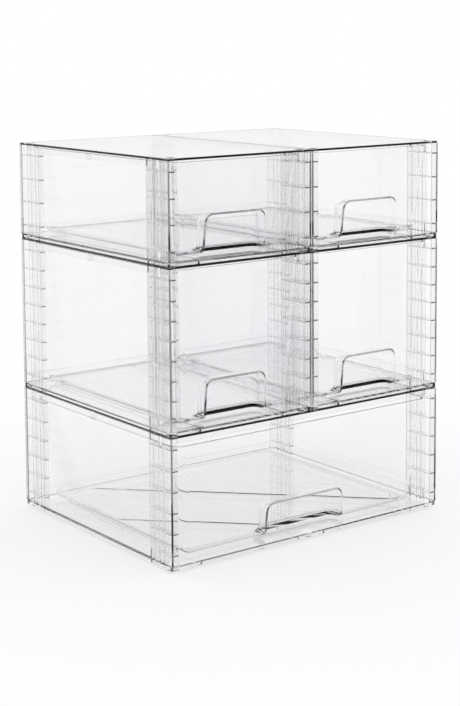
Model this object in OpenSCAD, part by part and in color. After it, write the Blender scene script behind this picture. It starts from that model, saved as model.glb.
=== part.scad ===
// Stack of clear drawer boxes: one wide box, two tall half-width boxes on it and two short ones on top.
// Each box is a housing of five snapped panels and a tapered drawer with a moulded finger recess.
// Millimetres, +Z up, origin at the bottom centre, drawers open towards -Y.

/* [Stack] */
// Overall width of the stack
stack_w = 320; // [260:1:400]
// Depth of every box
box_d = 257; // [200:1:320]
// Height of the wide box
wide_h = 121.5; // [90:1:180]
// What each of the two tall half-width boxes adds to the stack
tall_h = 150; // [100:1:220]
// What each of the two short half-width boxes adds to the stack
short_h = 94; // [80:1:140]
// Gap between two boxes side by side
neighbour_gap = 0.8; // [0.4:0.1:3]

/* [Panels] */
// Thickness of the top plate
top_t = 2; // [1.6:0.1:4]
// Thickness of the base plate
base_t = 2; // [1.6:0.1:4]
// Height of the rim and the corner pads under the base plate
rim_h = 2; // [1.5:0.1:6]
// Width of the rim under the base plate
rim_w = 2.2; // [1.5:0.1:5]
// Thickness of the side panes
side_t = 2; // [1.6:0.1:3]
// Thickness of the back pane
back_t = 2; // [1.2:0.1:3]
// Corner radius of the plates
plate_r = 2; // [0.5:0.1:4]
// Height of the top panel's band, plate included
top_band = 8.5; // [6:0.1:14]
// Height of the base panel's rails, plate and rim included
base_rail = 13; // [11:0.1:20]
// Thickness of the bands and rails
band_t = 1.6; // [1:0.1:2.5]
// Depth of the stiffening lip under the front edge of the wide top plate
front_lip = 4; // [0.5:0.1:6]
// Side of the square ring under each corner of the base plate
pad_d = 34; // [24:0.5:40]
// Wall of that ring
pad_t = 1.6; // [1:0.1:3]
// Height of the two rails that the drawer glides on
glide_h = 2.1; // [0.6:0.1:4]
// Width of a glide rail
glide_w = 1.6; // [1:0.1:4]
// Distance from the edge of the tray's floor in to the middle of a rail
glide_in = 6; // [3:0.5:14]
// Height of the stacking studs under the corners of a box
stud_h = 1.2; // [0.6:0.1:1.4]
// How much taller the studs of the wide box are, which stands on the floor
floor_foot = 1.8; // [0:0.1:4]
// Diameter of a stacking stud
stud_d = 7; // [4:0.5:9]
// Distance from a box's side and front or back to a stud's middle
stud_in = 8; // [6:0.5:12]
// Clearance between a stud and its socket, all round
stud_gap = 0.25; // [0.1:0.05:0.5]
// Clearance between pieces of one housing
fit_gap = 0.15; // [0.05:0.01:0.4]

/* [Corner posts] */
// Depth of a corner post, front to back
post_d = 35; // [30:0.5:50]
// Width of a corner post, across the box
post_w = 7.5; // [6.5:0.1:12]
// Radius of a post's outer edge
post_r = 1; // [0.5:0.1:2]
// Thickness of the ribs and rungs
rib_t = 1.2; // [0.8:0.1:2]
// First bay of a post, from its outer face to the next rib
bay_1 = 13; // [10:0.5:15]
// Second, narrow bay
bay_2 = 6; // [4:0.5:7]
// Third bay
bay_3 = 9; // [4:0.5:10]
// Target distance between rungs
rung_pitch = 19; // [14:0.5:30]
// Height of the solid block at a post's head, plate included
head_block = 12.5; // [10:0.5:16]
// Height of the solid block at a post's foot, base plate and rim included
foot_block = 13.5; // [12.5:0.5:18]

/* [Keys and snaps] */
// Thickness of a corner key, front to back
key_t = 1.6; // [1:0.1:3]
// Width of a corner key, across the box
key_w = 3; // [2:0.1:4]
// Distance from a post's outer face to its key
key_y = 15.8; // [14.5:0.1:18]
// Width of the snap tongue in the middle of a side
tongue_w = 7; // [4:0.5:14]
// Width of the panes' tabs through the plates
tab_w = 3; // [2:0.5:6]
// Thickness of the tabs
tab_t = 1.2; // [0.8:0.1:1.5]
// Distance from a post's outer face to its tab
tab_y = 24; // [21:0.5:27]
// How far the lower tabs reach below the top of the base plate
tab_drop = 3; // [2:0.1:3.5]

/* [Drawers] */
// Thickness of the tray's walls
wall_t = 1.8; // [1.2:0.1:3]
// Thickness of the tray's floor
floor_t = 2; // [1.4:0.1:3]
// Clearance between the tray's rim and the posts
rim_clear = 1.5; // [0.6:0.1:4]
// How far the rim lies behind the front of the box
rim_front = 4; // [2:0.5:8]
// How far the rim stays in front of the back of the box
rim_back = 8; // [6:0.5:20]
// Gap between the top of a half-width drawer and the top plate
half_head_gap = 2; // [0.8:0.1:4]
// Gap between the top of the wide drawer and the top plate
wide_head_gap = 9.1; // [5.2:0.1:14]
// Running gap between a tray and the glide rails
glide_gap = 0.2; // [0.1:0.05:0.5]
// Lean of the side walls of the half-width trays, from rim to foot
half_lean = 8; // [2:0.5:12]
// Lean of the side walls of the wide tray
wide_lean = 15; // [2:0.5:20]
// Lean of the front and back walls
front_lean = 7; // [2:0.5:12]
// Radius of the tray's bottom edge, outside
foot_r = 1; // [0.5:0.1:1.5]
// Radius between the walls and the floor, inside
floor_r = 5; // [3:0.5:6]
// Radius of the tray's upright corners
corner_r = 9; // [7:0.5:14]

/* [Finger recess] */
// Depth of the finger recess behind the front wall
recess_d = 15; // [10:0.5:24]
// Width of the recess in the half-width trays
half_recess_w = 67; // [40:1:80]
// Width of the recess in the wide tray
wide_recess_w = 91; // [50:1:140]
// Height of the recess above the tray's underside, tall boxes
tall_recess_h = 35.5; // [20:0.5:50]
// The same, short boxes
short_recess_h = 34.5; // [20:0.5:45]
// The same, wide box
wide_recess_h = 26; // [20:0.5:45]
// How much narrower the recess is at its roof, on each side
recess_draft = 1.4; // [0:0.1:3]
// Radius of the recess's corners
recess_r = 7; // [4:0.5:10]

/* [Floor bands of the wide tray] */
// Width of each raised diagonal band
band_w = 44; // [20:1:60]
// Distance between the middles of the two bands
band_pitch = 98; // [60:1:130]
// Height of the bands above the tray's floor
band_h = 0.8; // [0.4:0.1:2]

/* [Hidden] */
$fn = 48;
arc_steps = 5;              // flats in each quarter turn of the trays
cut = 1;                    // how far a cutter runs past the face it cuts
sunk = 0.5;                 // how far a form is let into the plate that carries it
half_w = (stack_w - neighbour_gap) / 2;
half_x = (half_w + neighbour_gap) / 2;
base_top = stud_h + rim_h + base_t;
rail_top = stud_h + base_rail;
foot_top = stud_h + foot_block;
mid_y = post_d + fit_gap;   // front end of what lies between the posts
mid_d = box_d - 2 * mid_y;
glide_top = base_top + glide_h;
tray_z = glide_top + glide_gap;
head_key = head_block - top_t - rib_t;
foot_key = foot_top - base_top - rib_t;
key_tip = key_t / 4;
back_pane_y = box_d - rib_t - fit_gap - back_t;
back_band_y = back_pane_y - fit_gap - band_t;
clear_plastic = [0.93, 0.95, 0.97, 0.5];
tall_z = floor_foot + wide_h - stud_h;
short_z = tall_z + tall_h;

// name, X of the centre, Z of the studs' feet, width, height, lean, recess width, recess height, head gap
BOXES = [
    ["wide", 0, floor_foot, stack_w, wide_h, wide_lean, wide_recess_w, wide_recess_h, wide_head_gap],
    ["tall_left", -half_x, tall_z, half_w, tall_h + stud_h, half_lean, half_recess_w, tall_recess_h,
        half_head_gap],
    ["tall_right", half_x, tall_z, half_w, tall_h + stud_h, half_lean, half_recess_w, tall_recess_h,
        half_head_gap],
    ["short_left", -half_x, short_z, half_w, short_h + stud_h, half_lean, half_recess_w, short_recess_h,
        half_head_gap],
    ["short_right", half_x, short_z, half_w, short_h + stud_h, half_lean, half_recess_w, short_recess_h,
        half_head_gap]
];
PIECES = ["top_panel", "base_panel", "left_side", "right_side", "back_panel", "drawer"];

// ---------- shared shapes ----------

// Plate outline with rounded corners, centred across, from y = 0 back to d
module plate_outline(w, d, r) {
    translate([-w / 2 + r, 0]) square([w - 2 * r, d]);
    translate([-w / 2, r]) square([w, d - 2 * r]);
    for (x = [-w / 2 + r, w / 2 - r], y = [r, d - r])
        translate([x, y]) circle(r);
}

// Copies its children at both ends of the depth, the second one mirrored front to back
module both_ends() {
    children();
    translate([0, box_d, 0]) mirror([0, 1, 0]) children();
}

// Copies its children on both sides of the box, the second one mirrored left to right
module both_sides() {
    children();
    mirror([1, 0, 0]) children();
}

// The four corners of a box of width w, with the corner's outer edge as origin
module four_corners(w) {
    both_sides() translate([-w / 2, 0, 0]) both_ends() children();
}

// Key that fits a post's slot, pointing up from z = 0, with a tapered tip
module key(length) {
    y0 = key_y + fit_gap;
    y1 = key_y + key_t - fit_gap;
    rotate([90, 0, 90]) linear_extrude(key_w - fit_gap)
        polygon([[y0, 0], [y1, 0], [y1, length - key_tip], [y1 - key_tip, length],
            [y0 + key_tip, length], [y0, length - key_tip]]);
}

// Notch in the edge of a plate or rim for a pane's tab, downwards from z = 0
module tab_notch(depth) {
    translate([-cut, tab_y - fit_gap, -depth - fit_gap])
        cube([cut + tab_t + fit_gap, tab_w + 2 * fit_gap, depth + fit_gap + cut]);
}

// ---------- housing ----------

// Sockets in a plate's upper face for the studs of the boxes above, whose width is above_w
module stud_sockets(w, above_w) {
    for (x = w > above_w ? [-half_x, half_x] : [0])
        translate([x, 0, -stud_h - fit_gap]) four_corners(above_w) translate([stud_in, stud_in, 0])
            cylinder(d = stud_d + 2 * stud_gap, h = stud_h + fit_gap + cut);
}

// Top plate with its bands, side tongues and corner keys, for a box of width w and height h
module top_panel(w, h, lip) {
    skirt_h = top_band - top_t / 2;
    back_band_w = w - 2 * (post_w + fit_gap);
    color(clear_plastic) translate([0, 0, h]) {
        difference() {
            union() {
                translate([0, 0, -top_t]) linear_extrude(top_t) plate_outline(w, box_d, plate_r);
                both_sides() {
                    translate([-w / 2 + side_t + fit_gap, mid_y, -top_band]) cube([band_t, mid_d, skirt_h]);
                    translate([-w / 2, (box_d - tongue_w) / 2, -top_band])
                        cube([side_t + fit_gap + band_t / 2, tongue_w, skirt_h]);
                }
                translate([-back_band_w / 2, back_band_y, -top_band]) cube([back_band_w, band_t, skirt_h]);
            }
            four_corners(w) tab_notch(top_t);
            stud_sockets(w, half_w);
        }
        four_corners(w) translate([0, 0, -top_t]) mirror([0, 0, 1]) key(head_key);
        if (lip > 0)
            translate([-back_band_w / 2, 0, -top_t - lip]) cube([back_band_w, band_t, lip + top_t / 2]);
    }
}

// Square ring from the rim's foot up into the base plate; x = y = 0 is its outer corner
module pad_ring(side) {
    translate([0, 0, stud_h]) linear_extrude(rim_h + sunk) difference() {
        square(side);
        translate([pad_t, pad_t]) square(side - 2 * pad_t);
    }
}

// Stacking stud that hangs from the base plate, taller by foot
module stud(foot) {
    translate([0, 0, -foot]) cylinder(d = stud_d, h = foot + stud_h + rim_h + sunk);
}

// Rim under the base plate
module base_rim(w) {
    translate([0, 0, stud_h]) linear_extrude(rim_h + sunk) difference() {
        plate_outline(w, box_d, plate_r);
        translate([0, rim_w]) plate_outline(w - 2 * rim_w, box_d - 2 * rim_w, plate_r / 2);
    }
}

// Base plate on its rim, rings and studs, with rails and corner keys; the wide box has two middle rings.
// The drawer glides on two low rails between the posts, under the side edges of its floor
module base_panel(w, lean, foot, middle_feet) {
    ring_in = rim_w - sunk;
    glide_x = w / 2 - post_w - rim_clear - lean - glide_in;
    back_rail_w = w - 2 * (post_w + fit_gap);
    color(clear_plastic) {
        difference() {
            union() {
                translate([0, 0, base_top - base_t]) linear_extrude(base_t) plate_outline(w, box_d, plate_r);
                base_rim(w);
                four_corners(w) {
                    translate([ring_in, ring_in, 0]) pad_ring(pad_d - ring_in);
                    translate([stud_in, stud_in, 0]) stud(foot);
                }
                if (middle_feet) both_ends() {
                    translate([-(pad_d - ring_in) / 2, ring_in, 0]) pad_ring(pad_d - ring_in);
                    translate([0, stud_in, 0]) stud(foot);
                }
            }
            translate([0, 0, base_top]) four_corners(w) tab_notch(tab_drop);
        }
        both_sides() {
            translate([-w / 2 + side_t + fit_gap, mid_y, base_top - sunk])
                cube([band_t, mid_d, rail_top - base_top + sunk]);
            translate([-glide_x - glide_w / 2, mid_y, base_top - sunk])
                cube([glide_w, mid_d, glide_h + sunk]);
        }
        translate([-back_rail_w / 2, back_band_y, base_top - sunk])
            cube([back_rail_w, band_t, rail_top - base_top + sunk]);
        translate([0, 0, base_top]) four_corners(w) key(foot_key);
    }
}

// Ladder post at the front end of a side panel: upright ribs, rungs, and a block at head and foot
module ladder_post(h) {
    clear_h = h - head_block - foot_top;
    cells = max(1, round(clear_h / rung_pitch));
    rib_starts = [0, bay_1, bay_1 + bay_2, bay_1 + bay_2 + bay_3, post_d - rib_t];
    for (y = rib_starts)
        translate([0, y, base_top]) cube([post_w, rib_t, h - top_t - base_top]);
    for (i = [1:1:cells - 1])
        translate([0, 0, foot_top + clear_h * i / cells - rib_t / 2]) cube([post_w, post_d, rib_t]);
    translate([0, 0, base_top]) cube([post_w, post_d, foot_top - base_top]);
    translate([0, 0, h - head_block]) cube([post_w, post_d, head_block - top_t]);
}

// Key slots and the rounded outer edge of one post
module post_cuts(h) {
    for (z = [base_top - cut, h - top_t - head_key - fit_gap])
        translate([-cut, key_y, z])
            cube([key_w + cut, key_t, (z < base_top ? foot_key : head_key) + fit_gap + cut]);
    difference() {
        translate([-cut, -cut, 0]) cube([post_r + cut, post_r + cut, h]);
        translate([post_r, post_r, -cut]) cylinder(r = post_r, h = h + 2 * cut);
    }
}

// Left side pane with its two posts and its tabs through the plates; x = 0 is its outer face
module side_panel(h) {
    color(clear_plastic) difference() {
        union() {
            translate([0, 0, base_top]) cube([side_t, box_d, h - top_t - base_top]);
            both_ends() {
                ladder_post(h);
                translate([0, tab_y, h - top_t - cut]) cube([tab_t, tab_w, top_t + cut]);
                translate([0, tab_y, base_top - tab_drop]) cube([tab_t, tab_w, tab_drop + cut]);
            }
        }
        both_ends() post_cuts(h);
        back_pane_groove(h);
        tongue_seat(h);
    }
}

// Groove of the back pane in the posts at the back of a side panel
module back_pane_groove(h) {
    translate([side_t, back_pane_y - fit_gap, base_top - cut])
        cube([post_w, back_t + 2 * fit_gap, h - top_t - base_top + 2 * cut]);
}

// Seat of the top panel's tongue in the upper edge of a side panel
module tongue_seat(h) {
    translate([-cut, (box_d - tongue_w) / 2 - fit_gap, h - top_band - fit_gap])
        cube([side_t + 2 * cut, tongue_w + 2 * fit_gap, top_band + cut]);
}

// Back pane between the posts
module back_panel(w, h) {
    pane_w = w - 2 * (side_t + fit_gap);
    color(clear_plastic) translate([-pane_w / 2, back_pane_y, base_top])
        cube([pane_w, back_t, h - top_t - base_top]);
}

// ---------- drawer ----------

quarter = [for (i = [0:arc_steps]) 90 * i / arc_steps];

// Points of a rounded rectangle at height z, counter-clockwise from its front right corner
function ring(x0, x1, y0, y1, r, z) = [
    for (c = [[x1 - r, y0 + r, -90], [x1 - r, y1 - r, 0], [x0 + r, y1 - r, 90], [x0 + r, y0 + r, 180]])
        for (a = quarter) [c[0] + r * cos(c[2] + a), c[1] + r * sin(c[2] + a), z]
];

// Closed skin over rings that each have the same number of points, lowest ring first
module skin(rings) {
    n = len(rings[0]);
    polyhedron(
        points = [for (ring = rings, p = ring) p],
        faces = concat(
            [[for (i = [0:n - 1]) i]],
            [[for (i = [n - 1:-1:0]) (len(rings) - 1) * n + i]],
            [for (k = [0:len(rings) - 2], i = [0:n - 1])
                let (j = (i + 1) % n) [k * n + i, (k + 1) * n + i, (k + 1) * n + j, k * n + j]]
        ),
        convexity = 6);
}

// Drafted tray solid, inset by e from the outer form, with its underside at z = bottom
module tray_form(w, rim_z, lean, e, bottom) {
    x_rim = w / 2 - post_w - rim_clear - e;
    r = e > 0 ? floor_r : foot_r;
    function share(z) = (rim_z - z) / (rim_z - tray_z);
    function level(z, inset) = let (sx = lean * share(z) + inset, sy = front_lean * share(z) + inset)
        ring(-x_rim + sx, x_rim - sx, rim_front + e + sy, box_d - rim_back - e - sy,
            (corner_r - e) * (1 - inset / corner_r), z);
    skin(concat(
        [for (a = quarter) level(bottom + r * (1 - cos(a)), r * (1 - sin(a)))],
        [level(rim_z + (e > 0 ? cut : 0), 0)]
    ));
}

// Space of the finger recess, grown by e; inside the tray (e > 0) its foot flares out to the floor
module recess_form(recess_w, recess_h, e, bottom) {
    top_r = recess_r + e;
    roof_z = tray_z + recess_h + e;
    back_y = rim_front + front_lean + recess_d + e;
    function level(z, grow) = let (half = recess_w / 2 + e + grow - recess_draft * (z - tray_z) / recess_h)
        ring(-half, half, -recess_d, back_y + grow, top_r, z);
    flare = e > 0 ? [for (a = quarter) level(bottom + floor_r * (1 - cos(a)), floor_r * (1 - sin(a)))] : [];
    skin(concat(
        [level(bottom - cut, e > 0 ? floor_r : 0)],
        flare,
        [for (a = quarter) level(roof_z - top_r * (1 - sin(a)), -top_r * (1 - cos(a)))]
    ));
}

// Two raised diagonal bands on the flat of the tray's floor
module floor_bands(w) {
    inset_x = post_w + rim_clear + wide_lean + wall_t + floor_r;
    inset_y = front_lean + wall_t + floor_r;
    flat_d = box_d - rim_front - rim_back - 2 * inset_y;
    flat_r = (corner_r - wall_t) * (1 - floor_r / corner_r);
    translate([0, 0, tray_z + floor_t / 2]) linear_extrude(floor_t / 2 + band_h) intersection() {
        translate([0, rim_front + inset_y]) plate_outline(w - 2 * inset_x, flat_d, flat_r);
        for (side = [-1, 1])
            translate([0, box_d / 2]) rotate(-45) translate([0, side * band_pitch / 2])
                square([w + box_d, band_w], center = true);
    }
}

// Tray with its finger recess
module drawer(w, h, lean, recess_w, recess_h, head_gap, banded) {
    rim_z = h - top_t - head_gap;
    color(clear_plastic) difference() {
        union() {
            difference() {
                tray_form(w, rim_z, lean, 0, tray_z);
                difference() {
                    tray_form(w, rim_z, lean, wall_t, tray_z + floor_t);
                    recess_form(recess_w, recess_h, wall_t, tray_z + floor_t);
                }
            }
            if (banded) floor_bands(w);
        }
        recess_form(recess_w, recess_h, 0, tray_z);
    }
}

// ---------- the stack ----------

// One piece of one box, in the stack's frame
module piece(box, kind) {
    is_wide = box[0] == "wide";
    w = box[3];
    h = box[4];
    translate([box[1], -box_d / 2, box[2]]) {
        if (kind == "top_panel") top_panel(w, h, is_wide ? front_lip : 0);
        if (kind == "base_panel") base_panel(w, box[5], is_wide ? floor_foot : 0, is_wide);
        if (kind == "left_side") translate([-w / 2, 0, 0]) side_panel(h);
        if (kind == "right_side") mirror([1, 0, 0]) translate([-w / 2, 0, 0]) side_panel(h);
        if (kind == "back_panel") back_panel(w, h);
        if (kind == "drawer") drawer(w, h, box[5], box[6], box[7], box[8], is_wide);
    }
}

for (box = BOXES, kind = PIECES)
    piece(box, kind);
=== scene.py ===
import itertools
import logging
import math
from dataclasses import dataclass
from enum import Enum
from functools import cached_property
from typing import Any, ClassVar

import bmesh
import bpy
import numpy as np
from mathutils import Matrix, Vector, geometry


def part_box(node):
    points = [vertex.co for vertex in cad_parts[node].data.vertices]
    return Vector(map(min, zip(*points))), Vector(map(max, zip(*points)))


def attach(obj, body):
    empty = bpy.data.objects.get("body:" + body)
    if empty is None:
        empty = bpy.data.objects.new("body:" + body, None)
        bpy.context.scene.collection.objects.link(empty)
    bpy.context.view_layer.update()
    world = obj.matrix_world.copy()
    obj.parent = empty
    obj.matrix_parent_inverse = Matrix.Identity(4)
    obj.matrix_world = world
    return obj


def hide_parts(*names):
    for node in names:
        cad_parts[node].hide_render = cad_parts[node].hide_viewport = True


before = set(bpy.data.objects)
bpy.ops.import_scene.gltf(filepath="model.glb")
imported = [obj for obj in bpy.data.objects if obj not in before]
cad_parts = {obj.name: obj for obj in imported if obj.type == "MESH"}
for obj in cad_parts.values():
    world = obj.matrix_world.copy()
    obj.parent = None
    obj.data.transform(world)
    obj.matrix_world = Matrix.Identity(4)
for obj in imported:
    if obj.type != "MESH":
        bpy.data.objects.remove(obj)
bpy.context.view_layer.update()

# Clear stacking drawer boxes. The top, base and back panels stay as the frame has them and get their
# plastic here. The side panels and the drawer trays are made again in place of their nodes.

LOG = logging.getLogger("drawer_boxes")

Span = tuple[float, float]
Block = tuple[Span, Span, Span]


class Box(Enum):
    """The five boxes of the stack, from the bottom up."""

    WIDE = "wide"
    TALL_LEFT = "tall_left"
    TALL_RIGHT = "tall_right"
    SHORT_LEFT = "short_left"
    SHORT_RIGHT = "short_right"


class Part(Enum):
    """The mouldings of one box: the five panels of its housing and its drawer."""

    TOP = "top_panel"
    BASE = "base_panel"
    LEFT = "left_side"
    RIGHT = "right_side"
    BACK = "back_panel"
    DRAWER = "drawer"


@dataclass(frozen=True)
class ClearFinishAndShade:
    """A clear styrene moulding, and the painted shade of the light that it loses.

    Args:
        name: Name of the material.
        depth: Light that a metre of the plastic takes away; set high, it darkens a part as painted shade.
        shaded_reflection_share: Share of the light that each reflection keeps, inside and outside; kept
            low, it darkens a part as painted shade.
        passing: Share of the light that gets through each surface when it casts its shadow.
        smear: Extra roughness where the surface is a little dull.
        ripple: Height of the slow waves that moulding leaves, in metres.
        wave: How many waves there are in a metre.
    """

    name: str
    depth: float
    shaded_reflection_share: float
    passing: float = 0.99
    smear: float = 0.001
    ripple: float = 0.000004
    wave: float = 14.0


class FinishAndShade(Enum):
    """The finishes of the stack's mouldings, with painted shade: PLATE, INNER, LADDER and TRAY keep far
    less light in each reflection and absorb more than PANE, which darkens the plates' edges, the panes
    between two boxes, the ribs and the trays; FOOT is a little darker than BASE and lets less light
    through to its shadow.
    """

    # Painted shade: lossy reflections and strong absorption draw the plates' edges dark.
    PLATE = ClearFinishAndShade("clear plate", depth=30.0, shaded_reflection_share=0.4, smear=0.004, ripple=0.00002, wave=18.0)
    BASE = ClearFinishAndShade("clear base", depth=3.5, shaded_reflection_share=0.93, smear=0.003, ripple=0.00001, wave=18.0)
    # Painted shade: a little darker than BASE along the floor; it also casts a darker shadow.
    FOOT = ClearFinishAndShade("clear foot", depth=5.0, shaded_reflection_share=0.9, passing=0.7, smear=0.003, ripple=0.00001,
                       wave=18.0)
    PANE = ClearFinishAndShade("clear pane", depth=5.0, shaded_reflection_share=0.95)
    # Painted shade: the panes between two boxes are darker than the others.
    INNER = ClearFinishAndShade("clear inner pane", depth=6.0, shaded_reflection_share=0.6)
    # Painted shade: the ribs and rungs show as dark lines.
    LADDER = ClearFinishAndShade("clear ladder", depth=60.0, shaded_reflection_share=0.2)
    # Painted shade: the trays are darker than the panes.
    TRAY = ClearFinishAndShade("clear tray", depth=8.0, shaded_reflection_share=0.3, ripple=0.00001, wave=16.0)


class Value:
    """A number or colour that travels along one socket, with the arithmetic that is used on it."""

    def __init__(self, graph: "Graph", socket: bpy.types.NodeSocket | None) -> None:
        """Wraps one output.

        Args:
            graph: The node tree that the output belongs to.
            socket: The output, or None for a node that has none.
        """
        self.graph = graph
        self.socket = socket

    def _math(self, kind: str, first: "Value | float", second: "Value | float") -> "Value":
        """Adds a Math node of one kind."""
        return self.graph.add("ShaderNodeMath", {0: first, 1: second}, operation=kind)

    def __sub__(self, other: "Value | float") -> "Value":
        """This value less another."""
        return self._math("SUBTRACT", self, other)

    def __rsub__(self, other: "Value | float") -> "Value":
        """Another value less this one."""
        return self._math("SUBTRACT", other, self)

    def __mul__(self, other: "Value | float") -> "Value":
        """This value times another."""
        return self._math("MULTIPLY", self, other)

    def __rmul__(self, other: "Value | float") -> "Value":
        """Another value times this one."""
        return self._math("MULTIPLY", other, self)

    def highest(self, other: "Value | float") -> "Value":
        """The larger of this value and another."""
        return self._math("MAXIMUM", self, other)


class Graph:
    """One node tree, emptied, with a short way to add and join nodes."""

    def __init__(self, tree: bpy.types.NodeTree) -> None:
        """Empties a tree.

        Args:
            tree: The tree of a material or a world.
        """
        self.tree = tree
        tree.nodes.clear()

    def add(self, kind: str, inputs: dict[int | str, Any] | None = None, out: int | str = 0,
            **settings: Any) -> Value:
        """Adds a node.

        Args:
            kind: Blender's name for the node.
            inputs: Values or constants by socket name or number.
            out: Name or number of the output that is returned.
            settings: Properties of the node.

        Returns:
            The chosen output.
        """
        node = self.tree.nodes.new(kind)
        for key, setting in settings.items():
            setattr(node, key, setting)
        for key, given in (inputs or {}).items():
            if isinstance(given, Value):
                self.tree.links.new(given.socket, node.inputs[key])
            else:
                node.inputs[key].default_value = given
        return Value(self, node.outputs[out] if node.outputs else None)

    def noise(self, place: Value, scale: float, detail: float = 2.0) -> Value:
        """Smooth noise between 0 and 1, at so many waves a metre."""
        return self.add("ShaderNodeTexNoise", {"Vector": place, "Scale": scale, "Detail": detail}, "Fac")

    def remap(self, value: Value, source: Span, target: Span) -> Value:
        """Stretches one range of a value smoothly over another.

        Args:
            value: The value to stretch.
            source: Lowest and highest number that are told apart.
            target: What those two become.

        Returns:
            The stretched value.
        """
        return self.add("ShaderNodeMapRange",
                        {"Value": value, "From Min": source[0], "From Max": source[1],
                         "To Min": target[0], "To Max": target[1]}, interpolation_type="SMOOTHSTEP")


class Plastic:
    """The clear material that one finish describes, painted shade included.

    The shader refracts and reflects, absorption inside takes light away with the length of its way, and
    a shadow passes straight through. The slow waves of the surface also tint it a trace of blue, and
    waves that are finer by DULL_FINER make it a little dull where their noise is high.
    """

    IOR: float = 1.49
    TINT_NOISE: Span = (0.3, 0.7)
    TINT: Span = (0.994, 1.0)
    DULL_NOISE: Span = (0.5, 0.75)
    DULL_FINER: float = 3.0
    DULL_DETAIL: float = 4.0

    def __init__(self, finish_and_shade: ClearFinishAndShade) -> None:
        """Makes the material.

        Args:
            finish_and_shade: The finish and the painted shade that it shows.
        """
        self.finish_and_shade = finish_and_shade
        self.material = bpy.data.materials.new(finish_and_shade.name)
        self.material.use_nodes = True
        self._build(Graph(self.material.node_tree))

    def _build(self, graph: Graph) -> None:
        """Adds the nodes.

        Args:
            graph: The material's node tree.
        """
        finish_and_shade = self.finish_and_shade
        place = graph.add("ShaderNodeTexCoord", out="Object")
        slow = graph.noise(place, finish_and_shade.wave)
        fine = graph.noise(place, finish_and_shade.wave * self.DULL_FINER, self.DULL_DETAIL)
        dull = graph.remap(fine, self.DULL_NOISE, (0.0, finish_and_shade.smear))
        tint = graph.remap(slow, self.TINT_NOISE, self.TINT)
        tone = graph.add("ShaderNodeCombineColor", {0: tint, 1: tint, 2: 1.0})
        wavy = graph.add("ShaderNodeBump", {"Strength": 1.0, "Distance": finish_and_shade.ripple, "Height": slow})
        # Painted shade where a finish sets them so: a Specular Tint under 1 darkens every reflection, and
        # dense absorption below darkens thick parts.
        body = graph.add("ShaderNodeBsdfPrincipled", {
            "Base Color": tone, "Roughness": dull, "Normal": wavy, "IOR": self.IOR,
            "Transmission Weight": 1.0, "Specular Tint": (finish_and_shade.shaded_reflection_share,) * 3 + (1.0,)})
        shade = graph.add("ShaderNodeLightPath", out="Is Shadow Ray")
        clear = graph.add("ShaderNodeBsdfTransparent", {"Color": (finish_and_shade.passing,) * 3 + (1.0,)})
        surface = graph.add("ShaderNodeMixShader", {0: shade, 1: body, 2: clear})
        inside = graph.add("ShaderNodeVolumeAbsorption", {"Color": (0.0, 0.0, 0.0, 1.0),
                                                          "Density": finish_and_shade.depth})
        graph.add("ShaderNodeOutputMaterial", {"Surface": surface, "Volume": inside})


def new_object(name: str, mesh: bpy.types.Mesh) -> bpy.types.Object:
    """Puts a mesh into the scene as an object at the origin.

    Args:
        name: Name of the object.
        mesh: Its mesh, with its place worked in.

    Returns:
        The object.
    """
    made = bpy.data.objects.new(name, mesh)
    bpy.context.scene.collection.objects.link(made)
    LOG.info("made %s", name)
    return made


def quarter(count: int) -> tuple[np.ndarray, np.ndarray]:
    """A quarter circle of radius 1 from a side to its foot, at even angles a from 0 to 90 degrees.

    Args:
        count: How many points it has.

    Returns:
        1 - sin(a), which falls from 1 to 0, and 1 - cos(a), which rises from 0 to 1.
    """
    angle = np.linspace(0.0, math.pi / 2, count)
    return 1 - np.sin(angle), 1 - np.cos(angle)


@dataclass(frozen=True)
class Viewpoint:
    """A camera on a level tripod with its lens board raised.

    Args:
        yaw: Heading from +Y towards +X, in degrees.
        pitch: Tilt below the horizon, in degrees.
        roll: Turn about the line of sight, in degrees.
        place: Position in metres.
        focal: Focal length in picture pixels.
        height: Picture height in pixels.
        axis_row: Picture row that the optical axis meets.
        sensor: Width of the camera's sensor in millimetres.
    """

    yaw: float = 36.728
    pitch: float = 5.951
    roll: float = -0.392
    place: tuple[float, float, float] = (-0.9201, -1.2365, 0.4802)
    focal: float = 1575.7
    height: int = 706
    axis_row: float = 190.0
    sensor: float = 36.0

    def pose(self) -> Matrix:
        """Works out where the camera stands and how it is turned.

        It looks along (sin yaw cos pitch, cos yaw cos pitch, -sin pitch), and roll turns its right and
        up about that line.

        Returns:
            The camera's matrix.
        """
        yaw, pitch, roll = (math.radians(a) for a in (self.yaw, self.pitch, self.roll))
        forward = Vector((math.sin(yaw) * math.cos(pitch), math.cos(yaw) * math.cos(pitch),
                          -math.sin(pitch)))
        right = Vector((math.cos(yaw), -math.sin(yaw), 0.0))
        up = right.cross(forward)
        level = math.cos(roll) * right + math.sin(roll) * up
        upright = math.cos(roll) * up - math.sin(roll) * right
        turn = Matrix((level, upright, -forward)).transposed().to_4x4()
        turn.translation = Vector(self.place)
        return turn

    def build(self) -> None:
        """Makes the camera and looks through it."""
        camera = bpy.data.objects.new("camera", bpy.data.cameras.new("camera"))
        camera.matrix_world = self.pose()
        camera.data.sensor_width = self.sensor
        camera.data.lens = self.focal / self.height * self.sensor
        camera.data.shift_y = -(self.height / 2 - self.axis_row) / self.height
        bpy.context.scene.collection.objects.link(camera)
        bpy.context.scene.camera = camera


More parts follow.
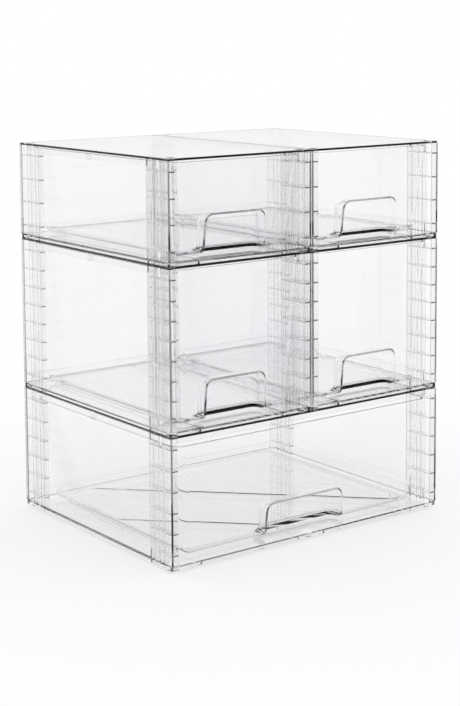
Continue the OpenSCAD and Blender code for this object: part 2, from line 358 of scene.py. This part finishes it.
@dataclass(frozen=True)
class Studio:
    """The white surroundings and the floor, around one camera.

    Args:
        view: Where the camera stands and how it looks.
        ceiling: Heights of a direction, as its Z, between which plastic sees the room turn dark.
        paint: Share of the light that the floor scatters.
        glow: Light that the floor gives by itself, so that shadows on it stay pale.
        reach: Half the width of the floor in metres.
        layers: How many see-through surfaces a shadow passes.
        turns: How often light turns in all.
        inside: How often light is bent or thrown back inside the plastic.
    """

    view: Viewpoint
    ceiling: Span = (0.45, 0.75)
    paint: float = 0.4
    glow: float = 0.6
    reach: float = 10.0
    layers: int = 128
    turns: int = 160
    inside: int = 96

    def build(self) -> None:
        """Makes the camera first, then the surroundings and the floor."""
        self.view.build()
        self._surroundings()
        self._floor()
        scene = bpy.context.scene
        scene.view_settings.view_transform = "Standard"
        scene.cycles.transparent_max_bounces = self.layers
        scene.cycles.max_bounces = self.turns
        scene.cycles.transmission_bounces = self.inside
        scene.cycles.glossy_bounces = self.inside

    def _surroundings(self) -> None:
        """Lights the scene with white from all round; to plastic the ceiling looks dark."""
        world = bpy.data.worlds.new("white room")
        world.use_nodes = True
        bpy.context.scene.world = world
        graph = Graph(world.node_tree)
        heading = graph.add("ShaderNodeTexCoord", out="Generated")
        height = graph.add("ShaderNodeSeparateXYZ", {0: heading}, "Z")
        ceiling = graph.remap(height, self.ceiling, (1.0, 0.0))
        glossy = graph.add("ShaderNodeLightPath", out="Is Glossy Ray")
        through = graph.add("ShaderNodeLightPath", out="Is Transmission Ray")
        tone = 1.0 - glossy.highest(through) * (1.0 - ceiling)
        colour = graph.add("ShaderNodeCombineColor", {0: tone, 1: tone, 2: tone})
        light = graph.add("ShaderNodeBackground", {"Color": colour, "Strength": 1.0})
        graph.add("ShaderNodeOutputWorld", {"Surface": light})

    def _floor(self) -> None:
        """Lays a white floor that takes the stack's shadow."""
        mesh = bpy.data.meshes.new("floor")
        reach = self.reach
        mesh.from_pydata([(-reach, -reach, 0.0), (reach, -reach, 0.0), (reach, reach, 0.0),
                          (-reach, reach, 0.0)], [], [(0, 1, 2, 3)])
        material = bpy.data.materials.new("white floor")
        material.use_nodes = True
        graph = Graph(material.node_tree)
        paint = graph.add("ShaderNodeBsdfPrincipled", {
            "Base Color": (self.paint,) * 3 + (1.0,), "Roughness": 1.0, "Specular IOR Level": 0.0,
            "Emission Color": (1.0, 1.0, 1.0, 1.0), "Emission Strength": self.glow})
        graph.add("ShaderNodeOutputMaterial", {"Surface": paint})
        mesh.materials.append(material)
        new_object("floor", mesh)


@dataclass(frozen=True)
class Moulding:
    """A moulding that is made here in place of its CAD node.

    Args:
        box: The box that it belongs to.
        part: Which of the box's mouldings it is.
    """

    box: Box
    part: Part

    @property
    def node(self) -> str:
        """Name of the CAD node."""
        return f"{self.box.value}_{self.part.value}"

    @cached_property
    def limits(self) -> tuple[Vector, Vector]:
        """Lowest and highest corner of the CAD node."""
        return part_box(self.node)

    def add(self, name: str, mesh: bpy.types.Mesh, body: str, slot: str) -> bpy.types.Object:
        """Makes a piece that stands for the node.

        Args:
            name: Name of the piece.
            mesh: Its mesh.
            body: Name of the body that it moves with.
            slot: Not used.

        Returns:
            The piece.
        """
        piece = new_object(name, mesh)
        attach(piece, body)
        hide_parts(self.node)
        return piece


@dataclass(frozen=True)
class Ring:
    """One level outline of a tray's skin.

    Args:
        z: Its height.
        inset: How far it lies inside the outer wall, foot rounding included.
        grow: How far the recess stands out into the tray, which is 0 or the wall's thickness.
        ease: How far the rounded roof has drawn the recess in.
        flare: How far the recess's foot spreads on the floor.
        shut: Whether it passes above the recess.
    """

    z: float
    inset: float
    grow: float
    ease: float = 0.0
    flare: float = 0.0
    shut: bool = False


@dataclass(frozen=True)
class Tray(Moulding):
    """One drafted drawer tray as a closed skin of stacked rings; lengths are in metres.

    Every ring has the same points in the same order: round the four corners, then in and out of the
    finger recess. The skin runs up the outside, over the rounded rim, and down the inside to the floor.

    Args:
        lean: How far a side wall comes in from rim to foot.
        recess_w: Width of the finger recess at its foot.
        recess_h: Height of the recess above the tray's underside.
        banded: Whether the floor carries two raised diagonal bands.
        front_lean: How far the front and back walls come in from rim to foot.
        recess_d: Depth of the recess behind the foot of the front wall.
        draft: How much narrower the recess is at its roof, on each side.
        roof_r: Radius between the recess's sides, back and roof.
        wall: Thickness of the walls.
        floor: Thickness of the floor.
        foot_r: Outer radius at the foot.
        floor_r: Inner radius between walls and floor.
        corner_r: Radius of the upright corners at the rim.
        least_r: Radius that those corners keep at the foot.
        mouth_r: Radius of the recess's upright edges in the front wall, outside.
        inner_mouth_r: The same, inside.
        band_w: Width of a band.
        band_pitch: Distance between the middle lines of the two bands.
        band_shift: How far both bands lie towards the front, across their length.
        band_h: Height of a band.
        band_edge: Distance that the bands keep from the border of the floor.
        band_reach: Half the length of a band before it is cut to the floor.
        weld: Distance under which points are merged.
        crease: Angle in degrees from which an edge looks sharp.
    """

    lean: float
    recess_w: float
    recess_h: float
    banded: bool = False
    front_lean: float = 0.007
    recess_d: float = 0.015
    draft: float = 0.0014
    roof_r: float = 0.007
    wall: float = 0.0018
    floor: float = 0.002
    foot_r: float = 0.0068
    floor_r: float = 0.005
    corner_r: float = 0.009
    least_r: float = 0.0015
    mouth_r: float = 0.0008
    inner_mouth_r: float = 0.0004
    band_w: float = 0.0425
    band_pitch: float = 0.096
    band_shift: float = 0.0185
    band_h: float = 0.0008
    band_edge: float = 0.0012
    band_reach: float = 0.5
    weld: float = 2e-6
    crease: float = 35.0

    # How many points round off a corner, a mouth edge, the foot, the recess's roof and the rim, and the
    # distance under which the cut of the banded floor takes two points for one.
    CORNER_POINTS: ClassVar[int] = 9
    MOUTH_POINTS: ClassVar[int] = 4
    FOOT_POINTS: ClassVar[int] = 7
    ROOF_POINTS: ClassVar[int] = 8
    RIM_POINTS: ClassVar[int] = 9
    SAME_POINT: ClassVar[float] = 1e-7

    def _outline(self, ring: Ring) -> np.ndarray:
        """Works out the points of one ring.

        A wall comes in evenly from rim to foot, by its lean, and its corners are quarter circles. The
        recess leaves the front wall over two small quarter circles and has two larger ones at its back,
        and its sides come in with the height, by its draft. Above its roof its points lie on the wall.

        Args:
            ring: The ring's height and what it is offset by.

        Returns:
            The points as rows of x, y, z.
        """
        low, high = self.limits
        share = (high.z - ring.z) / (high.z - low.z)
        x = (high.x - low.x) / 2 - self.lean * share - ring.inset
        y0 = low.y + self.front_lean * share + ring.inset
        y1 = high.y - self.front_lean * share - ring.inset
        r = max(self.corner_r - ring.inset, self.least_r)
        half = self.recess_w / 2 + ring.grow - self.draft * (ring.z - low.z) / self.recess_h
        deep = low.y + self.front_lean + self.recess_d + ring.grow
        half, deep = half - ring.ease + ring.flare, deep - ring.ease + ring.flare
        back_r = self.roof_r + ring.grow + ring.flare
        mouth_r = self.inner_mouth_r if ring.grow else self.mouth_r

        turn = np.linspace(0.0, math.pi / 2, self.CORNER_POINTS)
        path = []
        for cx, cy, start in ((x - r, y0 + r, -90), (x - r, y1 - r, 0),
                              (r - x, y1 - r, 90), (r - x, y0 + r, 180)):
            angle = math.radians(start) + turn
            path.append((cx + r * np.cos(angle), cy + r * np.sin(angle)))
        out, up = quarter(self.MOUTH_POINTS)
        far, near = quarter(self.CORNER_POINTS)
        path.append((-half - mouth_r * out, y0 + mouth_r * up))
        path.append((-half + back_r * near, deep - back_r * far))
        path.append((half - back_r * far, deep - back_r * near))
        path.append((half + mouth_r * up, y0 + mouth_r * out))
        across, back = np.concatenate(path, axis=1)
        if ring.shut:
            back[4 * self.CORNER_POINTS:] = y0
        return np.column_stack((across + (low.x + high.x) / 2, back, np.full(len(back), ring.z)))

    def _wall(self, grow: float, bottom: float, radius: float, top: float) -> list[Ring]:
        """Rings of one side of the wall, from its foot up to the straight part under the rim.

        The foot is a quarter circle: at angle a the wall lies radius * (1 - sin a) inside itself and
        radius * (1 - cos a) above the bottom. The recess's roof is rounded in the same way.

        Args:
            grow: 0 for the outside, or the wall's thickness for the inside.
            bottom: Height of its foot.
            radius: Radius at its foot.
            top: Height of its last ring.

        Returns:
            The rings from the bottom up.
        """
        roof_r = self.roof_r + grow
        roof = self.limits[0].z + self.recess_h + grow
        rings = [Ring(bottom + radius * rise, grow + radius * spread, grow,
                      flare=radius * spread if grow else 0.0)
                 for spread, rise in zip(*quarter(self.FOOT_POINTS))]
        rings += [Ring(roof - roof_r * drop, grow, grow, ease=roof_r * ease)
                  for drop, ease in zip(*quarter(self.ROOF_POINTS))]
        return rings + [Ring(z, grow, grow, ease=roof_r, shut=True) for z in (roof, top)]

    def _rings(self) -> list[Ring]:
        """Every ring of the skin, from the underside over the rim, a half circle, to the floor."""
        low, high = self.limits
        edge = self.wall / 2
        brim = high.z - edge
        outside = self._wall(0.0, low.z, self.foot_r, brim)
        inside = self._wall(self.wall, low.z + self.floor, self.floor_r, brim)
        rim = [Ring(brim + edge * math.sin(a), edge * (1 - math.cos(a)), 0.0, ease=self.roof_r, shut=True)
               for a in np.linspace(0.0, math.pi, self.RIM_POINTS)[1:-1]]
        return outside + rim + inside[::-1]

    def build(self, plastic: Plastic) -> None:
        """Makes the tray's object in place of its node.

        Args:
            plastic: What it is moulded from.
        """
        rows = [self._outline(ring) for ring in self._rings()]
        grid = np.arange(len(rows) * len(rows[0])).reshape(len(rows), -1)
        after = np.roll(grid, -1, axis=1)
        faces = np.stack((grid[:-1], after[:-1], after[1:], grid[1:]), axis=-1).reshape(-1, 4).tolist()
        faces.append(grid[0, ::-1].tolist())
        floor = grid[-1].tolist()
        if not self.banded:
            faces.append(floor)
        mesh = bpy.data.meshes.new(f"{self.box.value}_tray")
        mesh.from_pydata(np.concatenate(rows).tolist(), [], faces)
        work = bmesh.new()
        work.from_mesh(mesh)
        if self.banded:
            work.verts.ensure_lookup_table()
            self._banded_floor(work, [work.verts[i] for i in floor])
        bmesh.ops.remove_doubles(work, verts=work.verts, dist=self.weld)
        bmesh.ops.recalc_face_normals(work, faces=work.faces)
        work.to_mesh(mesh)
        work.free()
        mesh.shade_smooth()
        mesh.set_sharp_from_angle(angle=math.radians(self.crease))
        mesh.materials.append(plastic.material)
        tray = self.add(f"{self.box.value}_tray_moulding", mesh, f"{self.box.value}_tray", "tray_plastic")
        even = tray.modifiers.new("even normals", "WEIGHTED_NORMAL")
        even.keep_sharp = True

    def _bands(self, corners: list[Vector]) -> list[list[Vector]]:
        """Outlines of the two diagonal bands.

        A band is the strip of points whose distance from its middle line, x + y = constant, is under
        half the band's width, cut a little inside the floor's border.

        Args:
            corners: The floor's border.

        Returns:
            The outline of each band.
        """
        spread = np.array(corners)
        low = Vector(spread.min(axis=0) + self.band_edge)
        high = Vector(spread.max(axis=0) - self.band_edge)
        along, across = Vector((1, -1)).normalized(), Vector((1, 1)).normalized()
        bands = []
        for side in (-1, 1):
            middle = across * (side * self.band_pitch / 2 - self.band_shift)
            strip = [middle + along * a * self.band_reach + across * b * self.band_w / 2
                     for a, b in ((-1, -1), (1, -1), (1, 1), (-1, 1))]
            bands.append(self._clip(strip, low, high))
        return bands

    def _banded_floor(self, work: bmesh.types.BMesh, border: list[bmesh.types.BMVert]) -> None:
        """Covers the floor with flat triangles and raises the two bands on it.

        The triangles are cut along the border, which is outline 0, and along the bands, which are
        outlines 1 and 2. A triangle inside a band lies a band's height up, and upright faces close the
        band's edges.

        Args:
            work: The tray's mesh.
            border: The points round the floor.
        """
        corners = [Vector((v.co.x, v.co.y)) for v in border]
        spots, loops = list(corners), [list(range(len(corners)))]
        for band in self._bands(corners):
            loops.append(list(range(len(spots), len(spots) + len(band))))
            spots += band
        inside_only = 1
        spots, _, cells, _, _, owners = geometry.delaunay_2d_cdt(spots, [], loops, inside_only,
                                                                 self.SAME_POINT)
        level = border[0].co.z
        flat = [work.verts.new((p.x, p.y, level)) for p in spots]
        raised: dict[int, bmesh.types.BMVert] = {}
        edges: list[tuple[int, int]] = []
        for cell, owner in zip(cells, owners):
            if 0 not in owner:
                continue
            if len(owner) == 1:
                work.faces.new([flat[i] for i in cell])
                continue
            for i in cell:
                if i not in raised:
                    raised[i] = work.verts.new((spots[i].x, spots[i].y, level + self.band_h))
            work.faces.new([raised[i] for i in cell])
            edges += zip(cell, cell[1:] + cell[:1])
        for a, b in edges:
            if (b, a) not in edges:
                work.faces.new([flat[a], flat[b], raised[b], raised[a]])

    @staticmethod
    def _clip(shape: list[Vector], low: Vector, high: Vector) -> list[Vector]:
        """Cuts a convex outline to an upright rectangle, side by side.

        Args:
            shape: The outline.
            low: The rectangle's lowest corner.
            high: Its highest corner.

        Returns:
            What is left of the outline.
        """
        for axis, limit, sign in ((0, low.x, 1), (0, high.x, -1), (1, low.y, 1), (1, high.y, -1)):
            kept = []
            for p, q in zip(shape, shape[1:] + shape[:1]):
                dp, dq = sign * (p[axis] - limit), sign * (q[axis] - limit)
                if dp >= 0:
                    kept.append(p)
                if dp * dq < 0:
                    kept.append(p.lerp(q, dp / (dp - dq)))
            shape = kept
        return shape


TRAYS = (
    Tray(Box.WIDE, Part.DRAWER, lean=0.015, recess_w=0.091, recess_h=0.0295, banded=True),
    Tray(Box.TALL_LEFT, Part.DRAWER, lean=0.008, recess_w=0.067, recess_h=0.0355),
    Tray(Box.TALL_RIGHT, Part.DRAWER, lean=0.008, recess_w=0.067, recess_h=0.0355),
    Tray(Box.SHORT_LEFT, Part.DRAWER, lean=0.008, recess_w=0.067, recess_h=0.0345),
    Tray(Box.SHORT_RIGHT, Part.DRAWER, lean=0.008, recess_w=0.067, recess_h=0.0345),
)


@dataclass(frozen=True)
class LadderSide(Moulding):
    """One side of a box: a pane, and at each end a post of upright ribs with rungs between them.

    Lengths are in metres. They count inwards from the pane's outer face, back from the front of the box,
    and up from the feet of its studs.

    Args:
        plate_t: Thickness of the top plate, whose underside ends the pane and the ribs.
        pane_t: Thickness of the pane.
        base_top: Height of the base plate's upper face, where they start.
        tab: Where a tab starts and stops along the side, and how thick it is.
        tab_drop: How far a lower tab reaches into the base plate.
        post_w: How far a post stands into the box, pane included.
        ribs: Where the ribs of a post start.
        rib_t: Thickness of ribs and rungs.
        groove: What the outermost rungs of the back post leave free for the back pane.
        head: Distance from the top of the side to the highest cell of a ladder.
        foot: Height of its lowest cell.
        rung_pitch: Least distance between rungs.
        key: Where a notch for a key starts and stops along the side.
        key_head: Depth of the key's notch at the top.
        key_foot: Depth of the key's notch at the bottom.
        tongue_w: Width of the notch for the top plate's tongue.
        tongue_h: Its depth below the top of the side.
        seam: Gap between parts that touch.
    """

    plate_t: float = 0.002
    pane_t: float = 0.002
    base_top: float = 0.0052
    tab: tuple[float, float, float] = (0.024, 0.027, 0.0012)
    tab_drop: float = 0.003
    post_w: float = 0.0075
    ribs: tuple[float, ...] = (0.0, 0.013, 0.019, 0.028, 0.0338)
    rib_t: float = 0.0012
    groove: float = 0.0036
    head: float = 0.0125
    foot: float = 0.0147
    rung_pitch: float = 0.0175
    key: Span = (0.0158, 0.0174)
    key_head: float = 0.00945
    key_foot: float = 0.00845
    tongue_w: float = 0.0073
    tongue_h: float = 0.00865
    seam: float = 0.00003

    # A block's corners, as lower or upper limit along x, y and z, and its faces by corner.
    CORNERS: ClassVar[np.ndarray] = np.array(list(itertools.product((0, 1), repeat=3)))
    FACES: ClassVar[np.ndarray] = np.array(((0, 1, 3, 2), (4, 6, 7, 5), (0, 4, 5, 1), (2, 3, 7, 6),
                                            (0, 2, 6, 4), (1, 5, 7, 3)))

    @property
    def depth(self) -> float:
        """Length of the side from front to back."""
        return self.limits[1].y - self.limits[0].y

    @property
    def bottom(self) -> float:
        """Height of the feet of the studs in the stack."""
        return self.limits[0].z - (self.base_top - self.tab_drop)

    @property
    def height(self) -> float:
        """Height of the side above the feet of the studs."""
        return self.limits[1].z - self.bottom

    def _both_ends(self, y: Span) -> tuple[Span, Span]:
        """A length at the front, and its mirror image at the back."""
        return y, (self.depth - y[1], self.depth - y[0])

    def _blocks(self, blocks: list[Block]) -> tuple[np.ndarray, np.ndarray]:
        """Works out upright blocks.

        A block has a corner for each choice of its lower or upper limit along x, y and z.

        Args:
            blocks: The two limits of each block along each axis.

        Returns:
            Eight corners and six faces for each block.
        """
        limits = np.array(blocks)
        points = limits[:, np.arange(3), self.CORNERS].reshape(-1, 3)
        starts = len(self.CORNERS) * np.arange(len(blocks))
        return points, (self.FACES + starts[:, None, None]).reshape(-1, 4)

    def _pane(self) -> tuple[np.ndarray, list[list[int]]]:
        """The pane with its notches for keys and tongue, and its tabs.

        The pane is one outline in y and z, set at both of its faces, with a face along each edge.

        Returns:
            Its points and its faces.
        """
        low, high, middle = self.base_top, self.height - self.plate_t, self.depth / 2
        keys = self._both_ends(self.key)
        tongue = (middle - self.tongue_w / 2, middle + self.tongue_w / 2)
        outline = [(0.0, low)]
        for a, b in keys:
            outline += [(a, low), (a, low + self.key_foot), (b, low + self.key_foot), (b, low)]
        outline += [(self.depth, low), (self.depth, high)]
        for (a, b), deep in ((keys[1], self.key_head), (tongue, self.tongue_h - self.plate_t),
                             (keys[0], self.key_head)):
            outline += [(b, high), (b, high - deep), (a, high - deep), (a, high)]
        outline.append((0.0, high))
        count = len(outline)
        points = np.vstack([np.insert(outline, 0, x, axis=1) for x in (0.0, self.pane_t)])
        front = np.arange(count)
        after = np.roll(front, -1)
        edges = np.column_stack((front, after, after + count, front + count))
        start, stop, thick = self.tab
        tabs, tab_faces = self._blocks([((0.0, thick), y, z) for y in self._both_ends((start, stop))
                                        for z in ((high + self.seam, self.height),
                                                  (low - self.tab_drop, low - self.seam))])
        faces = [front.tolist(), (front + count)[::-1].tolist(), *edges.tolist(),
                 *(tab_faces + 2 * count).tolist()]
        return np.vstack((points, tabs)), faces

    def _ladder(self) -> tuple[np.ndarray, list[list[int]]]:
        """The ribs and rungs of both posts.

        Between head and foot a post has as many equal cells as the least pitch allows.

        Returns:
            Their points and their faces.
        """
        x = (self.pane_t + self.seam, self.post_w)
        half = self.rib_t / 2
        clear = self.height - self.head - self.foot
        cells = int(clear / self.rung_pitch)
        levels = [self.foot - half, self.height - self.head + half]
        levels += [self.foot + clear * i / cells for i in range(1, cells)]
        blocks = [(x, y, (self.base_top, self.height - self.plate_t)) for start in self.ribs
                  for y in self._both_ends((start, start + self.rib_t))]
        for start, stop in zip(self.ribs, self.ribs[1:]):
            near, far = self._both_ends((start + self.rib_t + self.seam, stop - self.seam))
            if start == self.ribs[0]:
                far = (far[0], self.depth - self.groove)
            blocks += [(x, y, (level - half, level + half)) for y in (near, far) for level in levels]
        points, faces = self._blocks(blocks)
        return points, faces.tolist()

    def build(self, pane: Plastic, ladder: Plastic) -> None:
        """Makes the side's two objects in place of its node.

        Args:
            pane: What the pane is moulded from.
            ladder: What the ribs and rungs are moulded from, darkened as painted shade so that they show
                as dark lines.
        """
        self._make("pane", *self._pane(), pane)
        self._make("ladder", *self._ladder(), ladder)

    def _make(self, kind: str, points: np.ndarray, faces: list[list[int]], plastic: Plastic) -> None:
        """Makes one object of the side.

        Its lengths are set off from the lower front corner of the outer face, and on a right side they
        run the other way across.

        Args:
            kind: Last word of the object's name.
            points: Its points, in the side's own lengths.
            faces: Its faces.
            plastic: What it is moulded from.
        """
        low, high = self.limits
        outer, inwards = (low.x, 1.0) if self.part is Part.LEFT else (high.x, -1.0)
        placed = np.array((outer, low.y, self.bottom)) + np.array((inwards, 1.0, 1.0)) * points
        mesh = bpy.data.meshes.new(f"{self.node}_{kind}")
        mesh.from_pydata(placed.tolist(), [], faces)
        work = bmesh.new()
        work.from_mesh(mesh)
        bmesh.ops.recalc_face_normals(work, faces=work.faces)
        work.to_mesh(mesh)
        work.free()
        mesh.materials.append(plastic.material)
        self.add(f"{self.node}_{kind}", mesh, f"{self.box.value}_box", "panel_plastic")


@dataclass(frozen=True)
class Housing:
    """The five panels of one box.

    Args:
        box: Which box it is.
        plastics: The materials by finish, painted shade included.
    """

    box: Box
    plastics: dict[FinishAndShade, Plastic]

    FINISHES_AND_SHADE: ClassVar[dict[Part, FinishAndShade]] = {
        Part.TOP: FinishAndShade.PLATE, Part.BASE: FinishAndShade.BASE, Part.LEFT: FinishAndShade.PANE,
        Part.RIGHT: FinishAndShade.PANE, Part.BACK: FinishAndShade.PANE}
    # The sides between two boxes take INNER, a darker copy of the pane: painted shade between the boxes.
    # The lowest base takes FOOT, a little darker, which also casts a darker shadow.
    APART: ClassVar[dict[tuple[Box, Part], FinishAndShade]] = {
        (Box.WIDE, Part.BASE): FinishAndShade.FOOT,
        (Box.TALL_LEFT, Part.RIGHT): FinishAndShade.INNER, (Box.TALL_RIGHT, Part.LEFT): FinishAndShade.INNER,
        (Box.SHORT_LEFT, Part.RIGHT): FinishAndShade.INNER, (Box.SHORT_RIGHT, Part.LEFT): FinishAndShade.INNER}

    def plastic(self, part: Part) -> Plastic:
        """The material of a panel; the lowest base has its own, and the sides between two boxes have a
        darker one, painted shade between the boxes.
        """
        return self.plastics[self.APART.get((self.box, part), self.FINISHES_AND_SHADE[part])]

    def build(self) -> None:
        """Gives each panel its material and makes both ladder sides."""
        for part in self.FINISHES_AND_SHADE:
            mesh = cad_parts[f"{self.box.value}_{part.value}"].data
            mesh.materials.clear()
            mesh.materials.append(self.plastic(part).material)
        for part in (Part.LEFT, Part.RIGHT):
            # The ribs and rungs take the LADDER copy, darkened as painted shade.
            LadderSide(self.box, part).build(self.plastic(part), self.plastics[FinishAndShade.LADDER])
        LOG.info("housing of the %s box is done", self.box.value)


def main() -> None:
    """Builds the studio, then the housings from the bottom up, then the trays."""
    logging.basicConfig(level=logging.INFO)
    Studio(Viewpoint()).build()
    plastics = {finish_and_shade: Plastic(finish_and_shade.value) for finish_and_shade in FinishAndShade}
    for box in Box:
        Housing(box, plastics).build()
    for tray in TRAYS:
        tray.build(plastics[FinishAndShade.TRAY])


if __name__ == "__main__":
    main()
